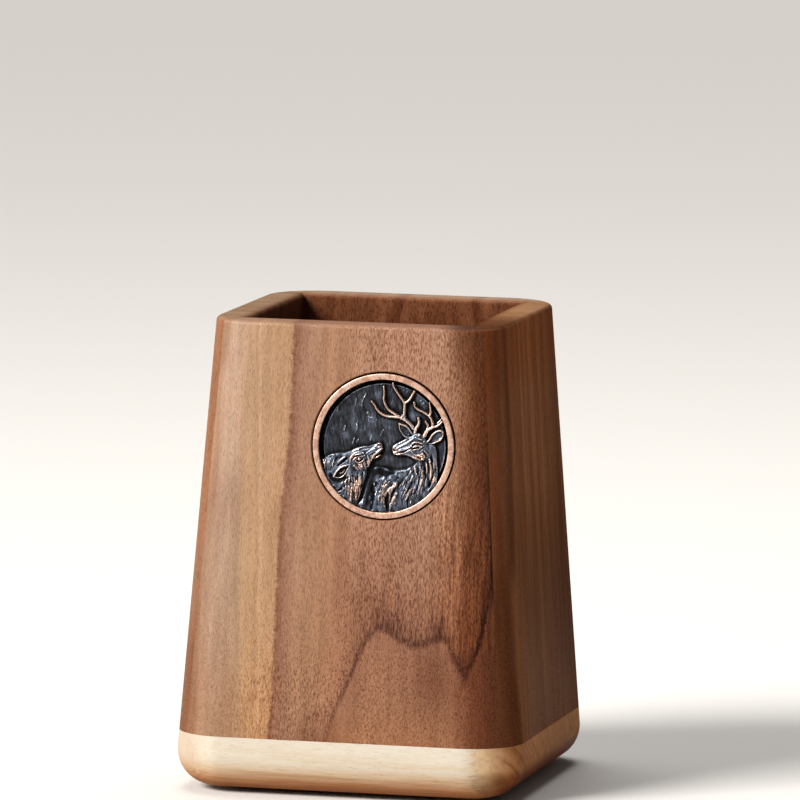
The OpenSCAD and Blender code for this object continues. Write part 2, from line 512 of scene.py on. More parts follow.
def stag_mane(field):
    """The stag's neck: strands, and the locks that stand out most."""
    field.form([(52, -14), (62, 4), (76, 6), (82, -5), (83, -20), (84.5, -36), (83, -52), (75, -70),
                (58, -87), (40, -100), (24, -100), (22, -78), (26, -60), (34, -43), (44, -29), (50, -22)],
                0.5, 1, 17)
    field.lumps(0.2, 0.45, 6, 0.2, (field.height > 0.5) & (field.u > 20))
    field.fur([[(47, -27), (38, -42), (31, -58), (27, -74), (28, -90)], [(51, -27), (46, -42), (42, -58),
               (36, -74), (33, -90)], [(55, -27), (54, -42), (50, -58), (45, -72), (42, -88)], [(59, -25),
               (61, -40), (59, -54), (54, -68), (48, -84)], [(65, -20), (68, -34), (67, -48), (63, -62),
               (57, -76)], [(71, -12), (75, -28), (75, -42), (71, -55), (66, -68)], [(77, -4), (81, -20),
               (82, -34), (79, -48), (74, -60)]], 115, 0.24, 2.2, 0.2)
    for radius, lift, *lock in (
            (2.6, 0.42, (57, -29), (60.5, -36), (61, -43)), (2.6, 0.42, (61, -47), (58, -57), (54.5, -70)),
            (2.4, 0.34, (49, -30), (51, -42), (51, -55), (47, -68)),
            (1.8, 0.28, (54, -42), (53.5, -52), (51, -62)), (2.8, 0.36, (43, -64), (40, -72), (36, -80)),
            (3, 0.4, (72, -22), (74.5, -33), (73, -47)), (1.8, 0.26, (66, -22), (68, -30), (67, -38)),
            (3, 0.34, (38, -44), (34, -50), (31, -57)), (2, 0.28, (47, -42), (44, -48), (42, -52)),
            (2.2, 0.26, (48, -70), (46, -78), (44, -84)), (2.2, 0.28, (35, -66), (33, -70), (31, -77)),
            (1.6, -0.35, (56, -48), (54.5, -58), (50, -70)), (2.2, -0.32, (44, -52), (40, -62), (36, -70)),
            (2.2, -0.34, (66, -44), (65, -54), (61, -66)), (1.4, -0.28, (64, -30), (66, -40), (65.5, -46)),
            (1.8, -0.3, (40, -76), (39, -84), (40, -90))):
        field.ridge(lock, radius, lift, 0.35)


def antlers(field):
    """Rods, each given as its radius and height at both ends and then its points."""
    for start, end, low, high, *line in (
            (3.4, 2.4, 1.15, 1, (45, 28), (40, 34), (33, 40), (30, 47), (30, 57), (30, 66)),
            (2.6, 1.9, 1, 0.95, (30, 66), (24, 74), (17, 83), (12, 91), (11.5, 95.5)),
            (2.6, 2, 1, 0.95, (30, 66), (36, 70), (40, 76), (44.5, 84.5)),
            (3, 1.7, 1.1, 0.9, (34, 39), (26, 43), (19, 46.5), (12, 51), (6, 54.5), (1, 61), (-2.5, 70),
                (-2, 78), (-3, 89.5)),
            (2.8, 1.7, 1.05, 0.85, (24, 44), (14, 44.5), (4, 45), (-5, 48), (-12, 54), (-16.5, 61),
                (-21.5, 66.5)),
            (3, 2.4, 1.1, 1.05, (27, 44), (27.5, 47)),
            (3.6, 2.6, 1.15, 1.05, (61, 17), (66, 26), (72, 30), (75.5, 32)),
            (2.8, 1.8, 1.05, 0.9, (74.5, 33), (73.5, 39), (71.5, 44), (68, 48), (60, 53), (52, 56.5),
                (46, 61), (44.5, 67.5)),
            (2.5, 1.8, 1, 0.9, (69, 47.5), (70.5, 55), (69.5, 62), (68.5, 68)),
            (2.6, 2, 1.05, 0.95, (75, 32.5), (79, 32.5), (84, 35.5), (88.5, 40)),
            (1.6, 1.4, 0.7, 0.6, (81, 37), (84.5, 41), (87.5, 45)),
            (3, 2.2, 1.15, 0.95, (47, 22), (49, 29), (52, 34), (53, 40), (51.5, 44)),
            (2.6, 1.8, 1.1, 0.95, (64, 23), (67, 32), (63, 39.5))):
        field.branch(line, start, end, low, high)


def stag_head(field):
    """The stag's ears, and its head with the eye and the details of its face."""
    leaf(field, [(46, 18), (41, 22.5), (36.5, 28.5), (31, 32), (22.5, 34.5), (23.5, 27), (27, 20.5),
                 (33, 15), (40, 15.5)], 5, 0.9)
    field.ridge([(36, 17.5), (38.5, 20), (36, 24)], 2, 0.18)
    leaf(field, [(65.5, 7.5), (70, 12.5), (74, 19.5), (80, 24.5), (86.5, 26.5), (90.5, 24.5), (90, 18),
                 (86, 12), (80, 9), (73, 6.5)], 6, 1)
    field.ridge([(78, 10), (83, 11.5), (87, 16)], 2.2, 0.2)
    field.form([(11.8, -3), (13.5, 1.5), (18, 4.5), (26, 8.5), (34, 13), (42, 18), (50, 22.5), (58, 20.5),
                (64, 15), (68, 7), (72, -1), (71.5, -9), (68, -16.5), (62, -20), (55, -21.5), (47, -18.5),
                (40, -15), (32, -13.5), (25, -15), (17, -13), (13, -8.5)], 0.5, 1.38, 13)
    field.ridges(
        # bridge of the nose, cheek plane, lips
        (2.8, 0.28, 0.2, (20, -3), (28, 1.5), (37, 6.5), (46, 14)),
        (2.2, -0.32, 0.1, (20, 2), (28, 6), (37, 11.5)), (2.6, 0.224, 0.3, (24, -5), (32, -3), (40, 0)),
        (1, -0.32, 0.2, (24, -2), (31, 0.5), (37, 3)),
        (1.8, -0.8, 0.2, (22, -8.5), (31, -7), (38, -3.5), (42, -1)),
        (1.8, 0.42, 0.3, (13.5, -9), (19, -11.5), (26, -10.5), (32, -9.5)),
        (1.2, -0.5, 0.2, (17, -14.5), (25, -13.5), (33, -13)),
        # nostril
        (1.6, -1.1, 0.3, (14.5, -4.5), (16.5, -6), (18.5, -6.5)),
        (1.3, 0.364, 0.3, (14, -2), (17, -2.8), (19.5, -5)),
        # brow, socket and lids
        (1.8, 0.476, 0.3, (42, 4.5), (47, 7.5), (53, 8), (60, 6)),
        (1.6, -1.1, 0.2, (42, -1), (46, 3.5), (50, 5.5), (56, 4.5), (60, 3.5)),
        (2, -0.8, 0.2, (43, -3), (49, -1), (54, -0.5)), (1.2, 0.392, 0.2, (53, -4), (56.5, -0.5), (60, 2)),
        (1, -0.44, 0.2, (54.5, -6.5), (58, -3), (62, 0)),
        # cheek
        (2.2, 0.308, 0.3, (43, -6), (47, -10), (53, -12), (60, -10)),
        (2, 0.28, 0.3, (50, -15), (56, -18.5), (62, -17.5)),
        (1.2, -0.48, 0.2, (50, -13.5), (56, -15.5), (62, -14)),
        (1.6, 0.308, 0.3, (63, -4), (67, -8), (69, -10)), (1, -0.4, 0.2, (62, -7), (64.5, -11), (66, -14)),
        # forehead
        (1.8, 0.28, 0.3, (48, 15), (53, 13.5), (59, 12)), (1, -0.7, 0.2, (53, 11), (57, 10.5), (61, 9.5)),
        (2, 0.252, 0.2, (50, 19), (53, 17.5), (55, 20)), (2.2, 0.336, 0.3, (60, 16), (63, 16.5), (65, 18)))
    field.dome((50.2, 2.4), 1.9, 0.42)
    field.fur([[(44, -16), (50, -17), (55, -22)], [(50, -12), (57, -14), (61, -22)], [(58, -6), (64, -9),
               (68, -17)], [(62, 0), (68, -4), (73, -12)]], 46, 0.5, 1.2, 0.12)


def doe_body(field):
    """The doe's neck and back, with strands and locks."""
    field.form([(-40, -4), (-50, -7.5), (-60, -11), (-70, -12), (-80, -13.5), (-87, -16.5), (-92, -20.5),
                (-97, -25), (-115, -45), (-100, -70), (-75, -95), (-46, -110), (-39, -88), (-34, -72),
                (-30, -56), (-25, -42), (-25, -25)], 0.35, 0.92, 16)
    field.lumps(-0.2, 0.6, 6, 0.2, (field.height > 0.4) & (field.u < -30) & (field.v < -10))
    field.ridges(
        (5, -0.4, 0.2, (-55, -50), (-66, -54), (-76, -53), (-82, -47)),
        (3, 0.26, 0.2, (-72, -64), (-76, -63)), (2.2, -0.24, 0.3, (-56, -60), (-64, -67), (-74, -72)),
        (2.2, 0.22, 0.3, (-86, -19), (-80, -16), (-76, -16.5)), (3, 0.24, 0.2, (-95, -24), (-92, -29)))
    field.fur([[(-94, -24), (-93, -36), (-90, -46)], [(-84, -19), (-87, -32), (-87, -46)], [(-76, -18),
               (-80, -30), (-82, -42)], [(-68, -16), (-74, -28), (-78, -36)]], 60, 0.4, 1.5, 0.12)
    field.fur([[(-58, -46), (-63, -58), (-70, -70), (-74, -80)], [(-53, -42), (-56, -58), (-60, -72),
               (-62, -86)], [(-48, -40), (-49, -56), (-51, -72), (-53, -90)], [(-42, -40), (-42, -56),
               (-44, -72), (-46, -92)], [(-34, -40), (-36, -56), (-38, -70), (-41, -86)], [(-28, -40),
               (-31, -54), (-35, -68), (-38, -80)]], 100, 0.24, 2, 0.18)
    for radius, lift, *lock in (
            (1.8, 0.26, (-44, -50), (-42.5, -57), (-43, -63)),
            (2.2, 0.36, (-42, -68), (-40.5, -76), (-41, -83)),
            (2, 0.28, (-53, -62), (-50, -66), (-48, -72)),
            (1.8, 0.26, (-33, -50), (-34.5, -58), (-36, -66)),
            (2.2, 0.26, (-56, -50), (-58, -57), (-57, -63)),
            (1.6, -0.32, (-46, -66), (-45, -76), (-46, -86)),
            (1.4, -0.26, (-37, -62), (-37.5, -72), (-39, -80)),
            (1.4, -0.26, (-39, -46), (-39, -52), (-39.5, -58))):
        field.ridge(lock, radius, lift, 0.35)


def doe_head(field):
    """The doe's far ear, its head with the eye and the details of its face, and its near ear."""
    field.form([(-56, -15.5), (-62, -17), (-68, -21.5), (-74, -30.5), (-68, -27.5), (-60, -21.5)], 0.85,
                1.2, 3)
    field.ridge([(-56, -20), (-62, -25), (-70, -32)], 2.6, -0.5, 0.2)
    field.form([(-1.5, -0.5), (-4, 4.5), (-8.5, 5.5), (-14, 3), (-22, 0.5), (-32, -1), (-42, -3.5),
                (-50, -8), (-54, -16), (-54.5, -25), (-52, -32), (-46, -36.5), (-38, -39.5), (-30, -38.5),
                (-23.5, -34), (-19.5, -27), (-16, -21.5), (-10, -19), (-4.5, -14.5), (-5, -10.5),
                (-1.2, -5)], 0.5, 1.35, 13)
    field.ridges(
        # nostril and lips
        (1.4, -1, 0.2, (-10.5, 1), (-8, 2), (-5.5, 1.2)),
        (1.6, 0.42, 0.2, (-11, -0.5), (-8, -2.2), (-4.5, -0.5)),
        (2.4, 0.336, 0.3, (-2, -3.5), (-8, -7.5), (-14, -12.5), (-17.5, -19)),
        (1.6, -1.2, 0.2, (-3, -9.5), (-9, -13), (-14, -17)),
        (1.6, 0.224, 0.3, (-4.5, -13), (-9, -17), (-12, -18.5)),
        # bridge of the nose
        (2.6, 0.28, 0.3, (-13, -4), (-20, -7.5), (-26, -11.5)),
        (3, -0.32, 0.2, (-15, 0), (-26, -3), (-36, -6)),
        (1.4, -0.4, 0.2, (-12, -10), (-17, -12), (-22, -15)),
        # brow, socket and lids
        (2.4, 0.448, 0.2, (-51.5, -28), (-51, -20), (-46, -13.5), (-39, -10.5), (-31, -11)),
        (1.5, -0.9, 0.2, (-49, -22.5), (-46, -18.5), (-42, -16.5), (-36, -15), (-31, -14.5)),
        (1.4, -0.72, 0.2, (-43, -22), (-40, -23.5), (-36, -24), (-32, -20.5)),
        (1.2, 0.392, 0.2, (-43, -25), (-38, -26.5), (-33.5, -25), (-30, -21.5)),
        (1, 0.308, 0.2, (-42, -19.5), (-38.5, -16.8), (-34, -16.5)),
        # cheek
        (2.4, 0.336, 0.3, (-24, -16), (-22, -21), (-21, -27)),
        (1.6, -0.44, 0.3, (-27, -21), (-26, -27), (-24, -30)),
        (3, 0.252, 0.2, (-46, -31), (-40, -33.5), (-33, -33)))
    field.dome((-37.5, -20.3), 2.1, 0.42)
    field.fur([[(-47, -28), (-47, -34), (-45, -39)], [(-42, -29), (-41, -35), (-38, -42)], [(-35, -29),
               (-33, -35), (-31, -41)], [(-28, -26), (-25, -32), (-24, -37)]], 60, 0.55, 1.4, 0.16)
    leaf(field, [(-50, -30), (-58, -31.5), (-66, -35), (-72, -41.5), (-76.5, -49), (-70, -50.5),
                 (-63.5, -49), (-58.5, -43.5), (-55, -37)], 5, 1.25)
    field.ridge([(-67, -44), (-63, -43), (-60, -39)], 1.8, 0.2)


def deer(field):
    """A stag and a doe, nose to nose. The casting's broad forms are low, with crisp details on them."""
    for part in (sky, stag_body, stag_mane, antlers, stag_head, doe_body, doe_head):
        part(field)
    broad = blur(field.height, 30)
    over = np.clip(broad - LEVEL, 0, None)
    field.height += HEADROOM * over / (HEADROOM + over) - over


def leaf(field, outline, bright, top):
    """An ear: a hollow with a round rim, which is thicker along the outline's first points."""
    line = curve(outline, closed=True)
    spot = field.near(line, 3)
    inside = within(line, field.u[spot], field.v[spot])
    gap, _ = to_curve(line, field.u[spot], field.v[spot])
    hollow = np.clip(gap / 2, 0, 1) * inside
    before = field.height[spot]
    field.height[spot] = np.where(inside, np.maximum(before * (1 - hollow), top * 0.5), before)
    field.branch(outline[:bright], 2.2, 2, top, top)
    field.branch(outline[bright - 1:] + outline[:1], 1.5, 1.4, top * 0.85, top * 0.9)


def disc_grid(n):
    """Points of an even mesh of quads over the unit disc, from a square by the concentric map."""
    s = np.linspace(-1, 1, n)
    x, y = np.meshgrid(s, s)
    wide = np.abs(x) > np.abs(y)
    r = np.where(wide, x, y)
    with np.errstate(divide="ignore", invalid="ignore"):
        a = np.where(wide, math.pi / 4 * y / x, math.pi / 2 - math.pi / 4 * x / y)
    a = np.nan_to_num(a)
    return r * np.cos(a), r * np.sin(a)


def blur(h, n):
    for _ in range(n):
        p = np.pad(h, 1, mode="edge")
        h = (p[:-2, 1:-1] + p[2:, 1:-1] + p[1:-1, :-2] + p[1:-1, 2:] + 4 * p[1:-1, 1:-1]) / 8
    return h


# Patches rubbed back to copper, or dulled where the strength is negative: centre, half sizes, strength
RUBBED = (
    (-34, -30, 13, 8, 0.9), (-20, -22, 8, 10, 0.5), (-47, -68, 15, 22, 0.9), (-36, -56, 6, 14, 0.6),
    (-86, -30, 10, 10, 0.6), (-64, -40, 12, 10, 0.6), (-44, -16, 6, 10, 0.5), (2, -72, 11, 22, 0.8),
    (20, -56, 14, 12, 0.5), (18, -80, 8, 14, 0.6), (56, -13, 14, 8, 0.8), (58, -46, 20, 24, 0.5),
    (42, -74, 12, 16, 0.5), (24, -6, 12, 6, 0.3), (10, 60, 45, 40, 0.4), (70, 40, 30, 35, 0.4),
    (74, -34, 6, 14, 0.5), (-12, -37, 18, 8, -1), (-22, -66, 7, 24, -1), (10, -40, 10, 6, -0.6),
    (-76, -19, 14, 6, -0.5))


def plate():
    """The cast plate: its relief in an even mesh of quads, and a straight edge down to its back."""
    n = RELIEF_GRID
    u, v = (c * RELIEF_R / RELIEF_UNIT for c in disc_grid(n))
    field = Relief(u, v, RELIEF_SEED)
    deer(field)
    height = blur(field.height, 1)
    seen = np.maximum(height, -0.1)
    # how far a point stands over its close, wider and broad surroundings
    # the wider and broad surroundings give painted shade round the tall forms
    stand = sum(weight * (seen - blur(seen, steps)) for weight, steps in ((0.7, 8), (0.35, 60), (0.25, 250)))
    # below the field, down the gap round the plate, it falls further: painted shade, near black
    stand += np.minimum(height + 0.1, 0)
    rubbed = sum(s * np.exp(-(((u - x) / a) ** 2 + ((v - y) / b) ** 2)) for x, y, a, b, s in RUBBED)
    rubbed *= np.clip(height / 0.5, 0, 1)
    stand += 0.22 * np.minimum(rubbed, 0)

    index = np.arange(n * n).reshape(n, n)
    rim = np.concatenate([index[0, :-1], index[:-1, -1], index[-1, :0:-1], index[:0:-1, 0]])
    x, y, z = u.ravel() * RELIEF_UNIT, v.ravel() * RELIEF_UNIT, FIELD + height.ravel() * MM
    top = np.stack([x, y, z], 1)
    foot = np.stack([x[rim], y[rim], np.full(len(rim), STACK_FLOOR)], 1)
    quads = np.stack([index[:-1, :-1], index[:-1, 1:], index[1:, 1:], index[1:, :-1]], -1).reshape(-1, 4)
    below = np.arange(len(rim)) + n * n
    side = np.stack([rim, np.roll(rim, -1), np.roll(below, -1), below], 1)
    verts = [SEAT @ Vector(p) for p in np.concatenate([top, foot])]
    piece = solid("deer_relief", verts, quads.tolist() + side.tolist() + [below.tolist()], 60)
    raised = np.clip((height - 0.25) / 0.7, 0, 1)
    # the plate's side takes a stand of -1: painted shade, near black, down the gap
    for name, value, edge in (("stand", stand, -1), ("rubbed", rubbed, 0), ("raised", raised, 0)):
        values = np.concatenate([value.ravel(), np.full(len(rim), edge)])
        piece.data.attributes.new(name, "FLOAT", "POINT").data.foreach_set("value", values)
    return piece


# ---------------------------------------------------------------- materials

def shade(red, green, blue):
    """A colour given as screen values from 0 to 255, as the linear values that nodes take."""
    parts = [c / 255 for c in (red, green, blue)]
    return tuple(c / 12.92 if c < 0.04 else ((c + 0.055) / 1.055) ** 2.4 for c in parts)


def put(socket, value):
    """Sets a node's input or links it to a value. Colours have three parts here and get their alpha."""
    if isinstance(value, Value):
        value.tree.links.new(value.socket, socket)
    elif value is not None:
        socket.default_value = (*value, 1) if socket.type == "RGBA" else value


def add(tree, kind, *inputs, out=0, **settings):
    """Adds a shader node with its inputs in the order of its sockets, and gives one of its outputs."""
    node = tree.nodes.new("ShaderNode" + kind)
    for key, value in settings.items():
        setattr(node, key, value)
    for socket, value in zip(node.inputs, inputs):
        put(socket, value)
    return Value(tree, node.outputs[out])


def arithmetic(operation):
    """A method that adds a math node."""
    return lambda value, other=None: add(value.tree, "Math", value, other, operation=operation)


class Value:
    """A node's output in a material. Arithmetic on it and the calls below add further nodes."""

    def __init__(self, tree, socket):
        self.tree = tree
        self.socket = socket

    __add__ = arithmetic("ADD")
    __sub__ = arithmetic("SUBTRACT")
    __mul__ = arithmetic("MULTIPLY")
    __pow__ = arithmetic("POWER")
    top = arithmetic("MAXIMUM")
    size = arithmetic("ABSOLUTE")
    angle = arithmetic("ARCTAN2")

    def __rsub__(self, other):
        return add(self.tree, "Math", other, self, operation="SUBTRACT")

    def linear(self, low, high, start=0, end=1):
        """Taken evenly from low..high to start..end, and held there beyond."""
        return add(self.tree, "MapRange", self, low, high, start, end)

    def span(self, low, high, start=0, end=1):
        """Taken smoothly from low..high to start..end, and held there beyond."""
        return add(self.tree, "MapRange", self, low, high, start, end, interpolation_type="SMOOTHSTEP")

    def near(self, middle, width):
        """1 at a value, falling to 0 at a width to either side."""
        return (self - middle).size().span(0, width, 1, 0)

    def along(self, points):
        """A smooth function through a few points (value, result)."""
        at, result = zip(*points)
        low, high, bottom, top = min(at), max(at), min(result), max(result)
        node = self.tree.nodes.new("ShaderNodeFloatCurve")
        put(node.inputs["Value"], self.linear(low, high))
        curve = node.mapping.curves[0]
        places = [((x - low) / (high - low), (y - bottom) / (top - bottom)) for x, y in points]
        for place, point in zip((places[0], places[-1]), list(curve.points)):
            point.location = place
        for place in places[1:-1]:
            curve.points.new(*place)
        node.mapping.update()
        return Value(self.tree, node.outputs[0]).linear(0, 1, bottom, top)

    def split(self):
        """The three parts of a point or a direction."""
        parts = add(self.tree, "SeparateXYZ", self).socket.node.outputs
        return [Value(self.tree, part) for part in parts]

    def stretch(self, across, depth, up, shift=(0, 0, 0)):
        return add(self.tree, "Mapping", self, shift, None, (across, depth, up))

    def noise(self, across, depth, up, shift=(0, 0, 0), detail=2, roughness=0.5, bend=0):
        """Noise at a point, with a scale for each axis."""
        point = self.stretch(across, depth, up, shift)
        return add(self.tree, "TexNoise", point, None, 1, detail, roughness, None, None, None, bend)

    def to_seat(self):
        """A point's angle about the medallion's axis, its distance from it and its height over the board."""
        shifted = add(self.tree, "Mapping", self, tuple(-SEAT.translation / MM))
        laid = add(self.tree, "Mapping", shifted, None, SEAT.to_quaternion().inverted().to_euler())
        x, y, z = laid.split()
        level = add(self.tree, "CombineXYZ", x, y)
        distance = add(self.tree, "VectorMath", level, out=1, operation="LENGTH")
        return y.angle(x), distance, z

    def tones(self, *stops):
        """Colours at values, blended between. A stop is a value and three linear colour parts."""
        low, high = stops[0][0], stops[-1][0]
        ramp = add(self.tree, "ValToRGB", self.linear(low, high))
        elements = ramp.socket.node.color_ramp.elements
        while len(elements) < len(stops):
            elements.new(0.5)
        for element, (at, *colour) in zip(elements, stops):
            element.position = (at - low) / (high - low)
            element.color = (*colour, 1)
        return ramp

    def shades(self, *stops):
        """As tones, with the colour parts as screen values."""
        return self.tones(*((at, *shade(*colour)) for at, *colour in stops))

    def blend(self, factor, other, kind="MIX"):
        """This colour, turned to another where the factor is 1."""
        node = self.tree.nodes.new("ShaderNodeMix")
        node.data_type = "RGBA"
        node.blend_type = kind
        for index, value in ((0, factor), (6, self), (7, other)):
            put(node.inputs[index], value)
        return Value(self.tree, node.outputs[2])

    def tint(self, factor, by):
        """This colour, multiplied by another where the factor is 1."""
        return self.blend(factor, by, "MULTIPLY")

    def tints(self, *steps):
        """This colour after several tints, each given as its factor and three linear colour parts."""
        colour = self
        for factor, *by in steps:
            colour = colour.tint(factor, by)
        return colour


def grain(x, z, across, up, layer=0, detail=2, roughness=0.5):
    """Noise over two values, with a scale for each."""
    point = add(x.tree, "CombineXYZ", x * across, layer, z * up)
    return add(x.tree, "TexNoise", point, None, 1, detail, roughness)


class Paint:
    """A material, whose points are in mm."""

    def __init__(self, name):
        self.material = bpy.data.materials.new(name)
        self.material.use_nodes = True
        self.tree = self.material.node_tree

    def add(self, kind, *inputs, **settings):
        return add(self.tree, kind, *inputs, **settings)

    def place(self, turn=0):
        """The point on the object, with a side's board turned to the front."""
        point = self.add("TexCoord", out=3)
        return self.add("Mapping", point, None, (0, 0, math.radians(-turn)), (1000, 1000, 1000))

    def finish(self, colour, roughness, bump=None, depth=0.00005, **fixed):
        """Links the shader. Depth is the bump's height in metres."""
        sockets = self.tree.nodes["Principled BSDF"].inputs
        put(sockets["Base Color"], colour)
        put(sockets["Roughness"], roughness)
        if bump is not None:
            put(sockets["Normal"], self.add("Bump", 1, depth, None, bump))
        for key, value in fixed.items():
            put(sockets[key.replace("_", " ")], value)
        return self.material


def front_figure(x, z):
    """Flat-sawn heart beside a pale streak of sapwood, with one tall ring line that closes in an arch."""
    edge = z.along([(15, -18.5), (45, -17.7), (66, -17.5), (95, -15.2), (120, -14.4)])
    jag = grain(x, z, 0.5, 0.8, detail=4, roughness=0.75)
    off = x - edge + (jag - 0.5) * 2.4
    colour = off.shades((-26, 120, 84, 60), (-20, 128, 92, 70), (-15, 143, 115, 95), (-10, 151, 118, 90),
                        (-3, 150, 115, 86), (-0.5, 146, 110, 82), (0.2, 118, 82, 62), (2.5, 136, 98, 78),
                        (6, 142, 104, 81), (11, 140, 101, 77), (30, 139, 99, 76), (38, 139, 101, 78),
                        (45, 134, 92, 66), (50, 118, 74, 48))

    # the sapwood's pink arch, and its warmer foot
    arch = x.along([(-46, 20), (-38, 96), (-33, 109), (-29, 98), (-26.5, 60), (-25, 0)])
    inside = (arch - z).span(-3, 3) * x.span(-24, -27)
    colour = colour.blend(inside * 0.5, shade(148, 120, 98))
    colour = colour.tints(
        (z.span(45, 20) * off.span(3, -2), 0.98, 0.9, 0.82),
        (z.span(75, 60) * x.span(0, -8), 1.09, 1.16, 1.18),
        (z.span(92, 74) * x.span(-25.5, -29), 0.86, 0.83, 0.85),
        (z.span(56, 44) * x.span(-37.4, -39), 0.76, 0.7, 0.66),
        (x.span(-31, -35) * z.near(75, 34), 0.92, 0.87, 0.83))
    light = (x - z.along([(20, -21.5), (60, -22), (120, -23.5)])).near(0, 0.6)
    colour = colour.blend(light * 0.2, shade(190, 160, 132))

    # the seam beside the sapwood, and the heart that darkens towards the arch
    colour = colour.tints(
        (off.span(-0.8, 0.3) * off.span(5, 0.6) * jag.span(0.4, 0.6), 0.8, 0.7, 0.66),
        (z.span(84, 54) * off.span(12, 22), 0.86, 0.84, 0.86),
        (x.span(29, 33) * z.span(100, 60), 0.88, 0.8, 0.72),
        (z.span(48, 92), 1.12, 1.2, 1.27))

    line = x.along([(-9, -4), (-3.2, 15), (-0.8, 22.5), (2.9, 31), (5.5, 37.5), (8.1, 42.6), (10.8, 44),
                    (15, 42), (19.4, 40.4), (24, 41.8), (26.8, 41.9), (28.8, 38.8), (31, 35.2), (33.1, 33),
                    (35, 37.5), (37, 46), (38.4, 60)])
    ragged = grain(x, z, 1.7, 0.12, detail=3, roughness=0.7)
    over = z - line - (ragged - 0.5) * 5
    below = z.shades((12, 136, 94, 67), (24, 128, 90, 68), (44, 119, 82, 64)).tints(
        (x.near(26, 11) * z.near(31, 15), 0.74, 0.66, 0.6),
        (x.near(9, 11) * z.span(24, 36, 0.5, 1), 1.24, 1.3, 1.3))
    colour = colour.blend(over.span(0.4, -0.4), below)
    teeth = grain(x, z, 1.5, 0.1, roughness=0.6)
    reach = teeth.span(0.4, 0.6, 4, 14)
    dashes = grain(x, z, 2.1, 0.24, 8, roughness=0.6).span(0.45, 0.55, 0.12, 1)
    fringe = over.linear(0, reach, 1.15, 0) * over.span(-0.6, 0.3) * dashes * x.span(1, 10, 0.35, 1)
    broken = grain(x, z, 1, 0.6, 5, detail=3, roughness=0.7).span(0.38, 0.56, 0.45, 1)
    breadth = x.span(5, 12, 3.2, 2) + x.span(27, 29.5, 0, 2.4)
    crisp = over.near(0.5, breadth) * z.span(12, 36, 0.5, 1) * (1 - x.near(11, 8) * 0.35)
    dark = (crisp * broken).top(fringe)
    shoulders = x.near(13, 7).top(x.near(25, 5)) * over.span(9, 2) * over.span(-1, 0.5)
    colour = colour.tints((shoulders * 0.8, 0.68, 0.66, 0.72), (dark, 0.38, 0.31, 0.32))

    # reddish wood beyond the arch's right leg, and a dark mark at the rim
    leg = z.along([(15, 33), (26, 31.8), (33, 32.8), (37.5, 34.8), (46, 37), (55, 38), (65, 37.2),
                   (75, 35.6), (95, 35.1), (120, 34.8)])
    turn = z.along([(15, 0), (50, 0), (62, 1.2), (74, 2.8), (83, 3.8), (95, 4.5), (110, 4.5), (120, 4.4)])
    rough = grain(x, z, 0.9, 0.42, 12, detail=4, roughness=0.75)
    beyond = x - leg + turn + (rough - 0.5) * 2.4
    soft = z.span(66, 84, 0.8, 1.8) + z.span(36, 28, 0, 2.2)
    colour = colour.blend(beyond.linear(soft * -1.5, soft), shade(104, 60, 38))
    stripes = grain(x, z, 1.35, 0.07, 9, detail=3, roughness=0.7)
    red = x.span(20, 28) * z.span(36, 42) * z.span(90, 66, 0.2, 1)
    colour = colour.tint(red, stripes.tones((0.42, 1.32, 1.34, 1.34), (0.6, 0.66, 0.58, 0.55)))
    leg_line = (beyond - turn).near(-0.3, 1.15) * z.span(28, 35) * broken * z.span(66, 54)
    low_left = x.span(-32, -22) * over.span(-1, 1) * z.span(44, 26)
    colour = colour.tints(
        (leg_line, 0.34, 0.26, 0.3),
        (z.span(104, 118) * (x + ragged * 3).near(30.6, 5), 0.66, 0.56, 0.5),
        (x.near(-7, 13) * z.span(28, 14), 0.68, 0.6, 0.6),
        (x.near(-9, 9), 0.9, 0.91, 0.9),
        (x.span(-1, 4) * z.span(51, 58), 1.09, 1.14, 1.19),
        (x.near(32.5, 4) * z.span(84, 98), 1.28, 1.34, 1.22),
        (low_left, 1.06, 1.07, 1.07))
    pores = off.span(-8, 2, 0.25, 0.45) + x.span(-4, 8, 0, 0.55) - over.span(1, -2, 0, 0.35)
    return colour, pores + low_left * 0.5 + x.span(22, 30, 0, 0.35) * z.span(50, 66)


def side_figure(x, z):
    """Quarter-sawn: straight upright stripes, darker beside the front corner's mitre."""
    drift = x - z * 0.02
    stripes = grain(drift, z, 0.2, 0.004, 7, detail=5, roughness=0.6)
    colour = stripes.shades((0.36, 106, 66, 43), (0.47, 112, 72, 47), (0.55, 118, 77, 51),
                            (0.64, 127, 84, 58))
    grey = z.span(75, 25) * x.span(-36, -15)
    colour = colour.blend(grey * 0.75, shade(112, 82, 66))
    mitre = x.span(-31, -36)
    streak = x - z.along([(15, -33), (45, -33.5), (60, -31.5), (75, -30), (90, -28.8), (120, -27.5)])
    depth = z.along([(10, 0.5), (24, 0.4), (36, 0.06), (50, 0.06), (64, 0.9), (120, 0.9)])
    colour = colour.tints(
        (z.span(58, 84), 1.28, 1.32, 1.36),
        (z.span(98, 114), 1, 0.84, 0.72),
        (z.span(50, 24) * x.span(-34, -28), 1.28, 1.34, 1.38),
        (z.span(14, 34) * x.span(0, 22), 0.76, 0.76, 0.82),
        (mitre, 0.82, 0.74, 0.7),
        (mitre * z.span(50, 64), 1.4, 1.36, 1.3),
        (streak.near(0, 3.4) * depth, 0.5, 0.43, 0.43),
        (x.near(-30, 6) * z.span(60, 76), 0.84, 0.82, 0.84))
    flecks = grain(x, z, 0.35, 2.4, 3)
    fleck = flecks.span(0.6, 0.7) * x.span(-8, -24)
    colour = colour.blend(fleck * 0.22, shade(150, 104, 74))
    return colour, 0.35


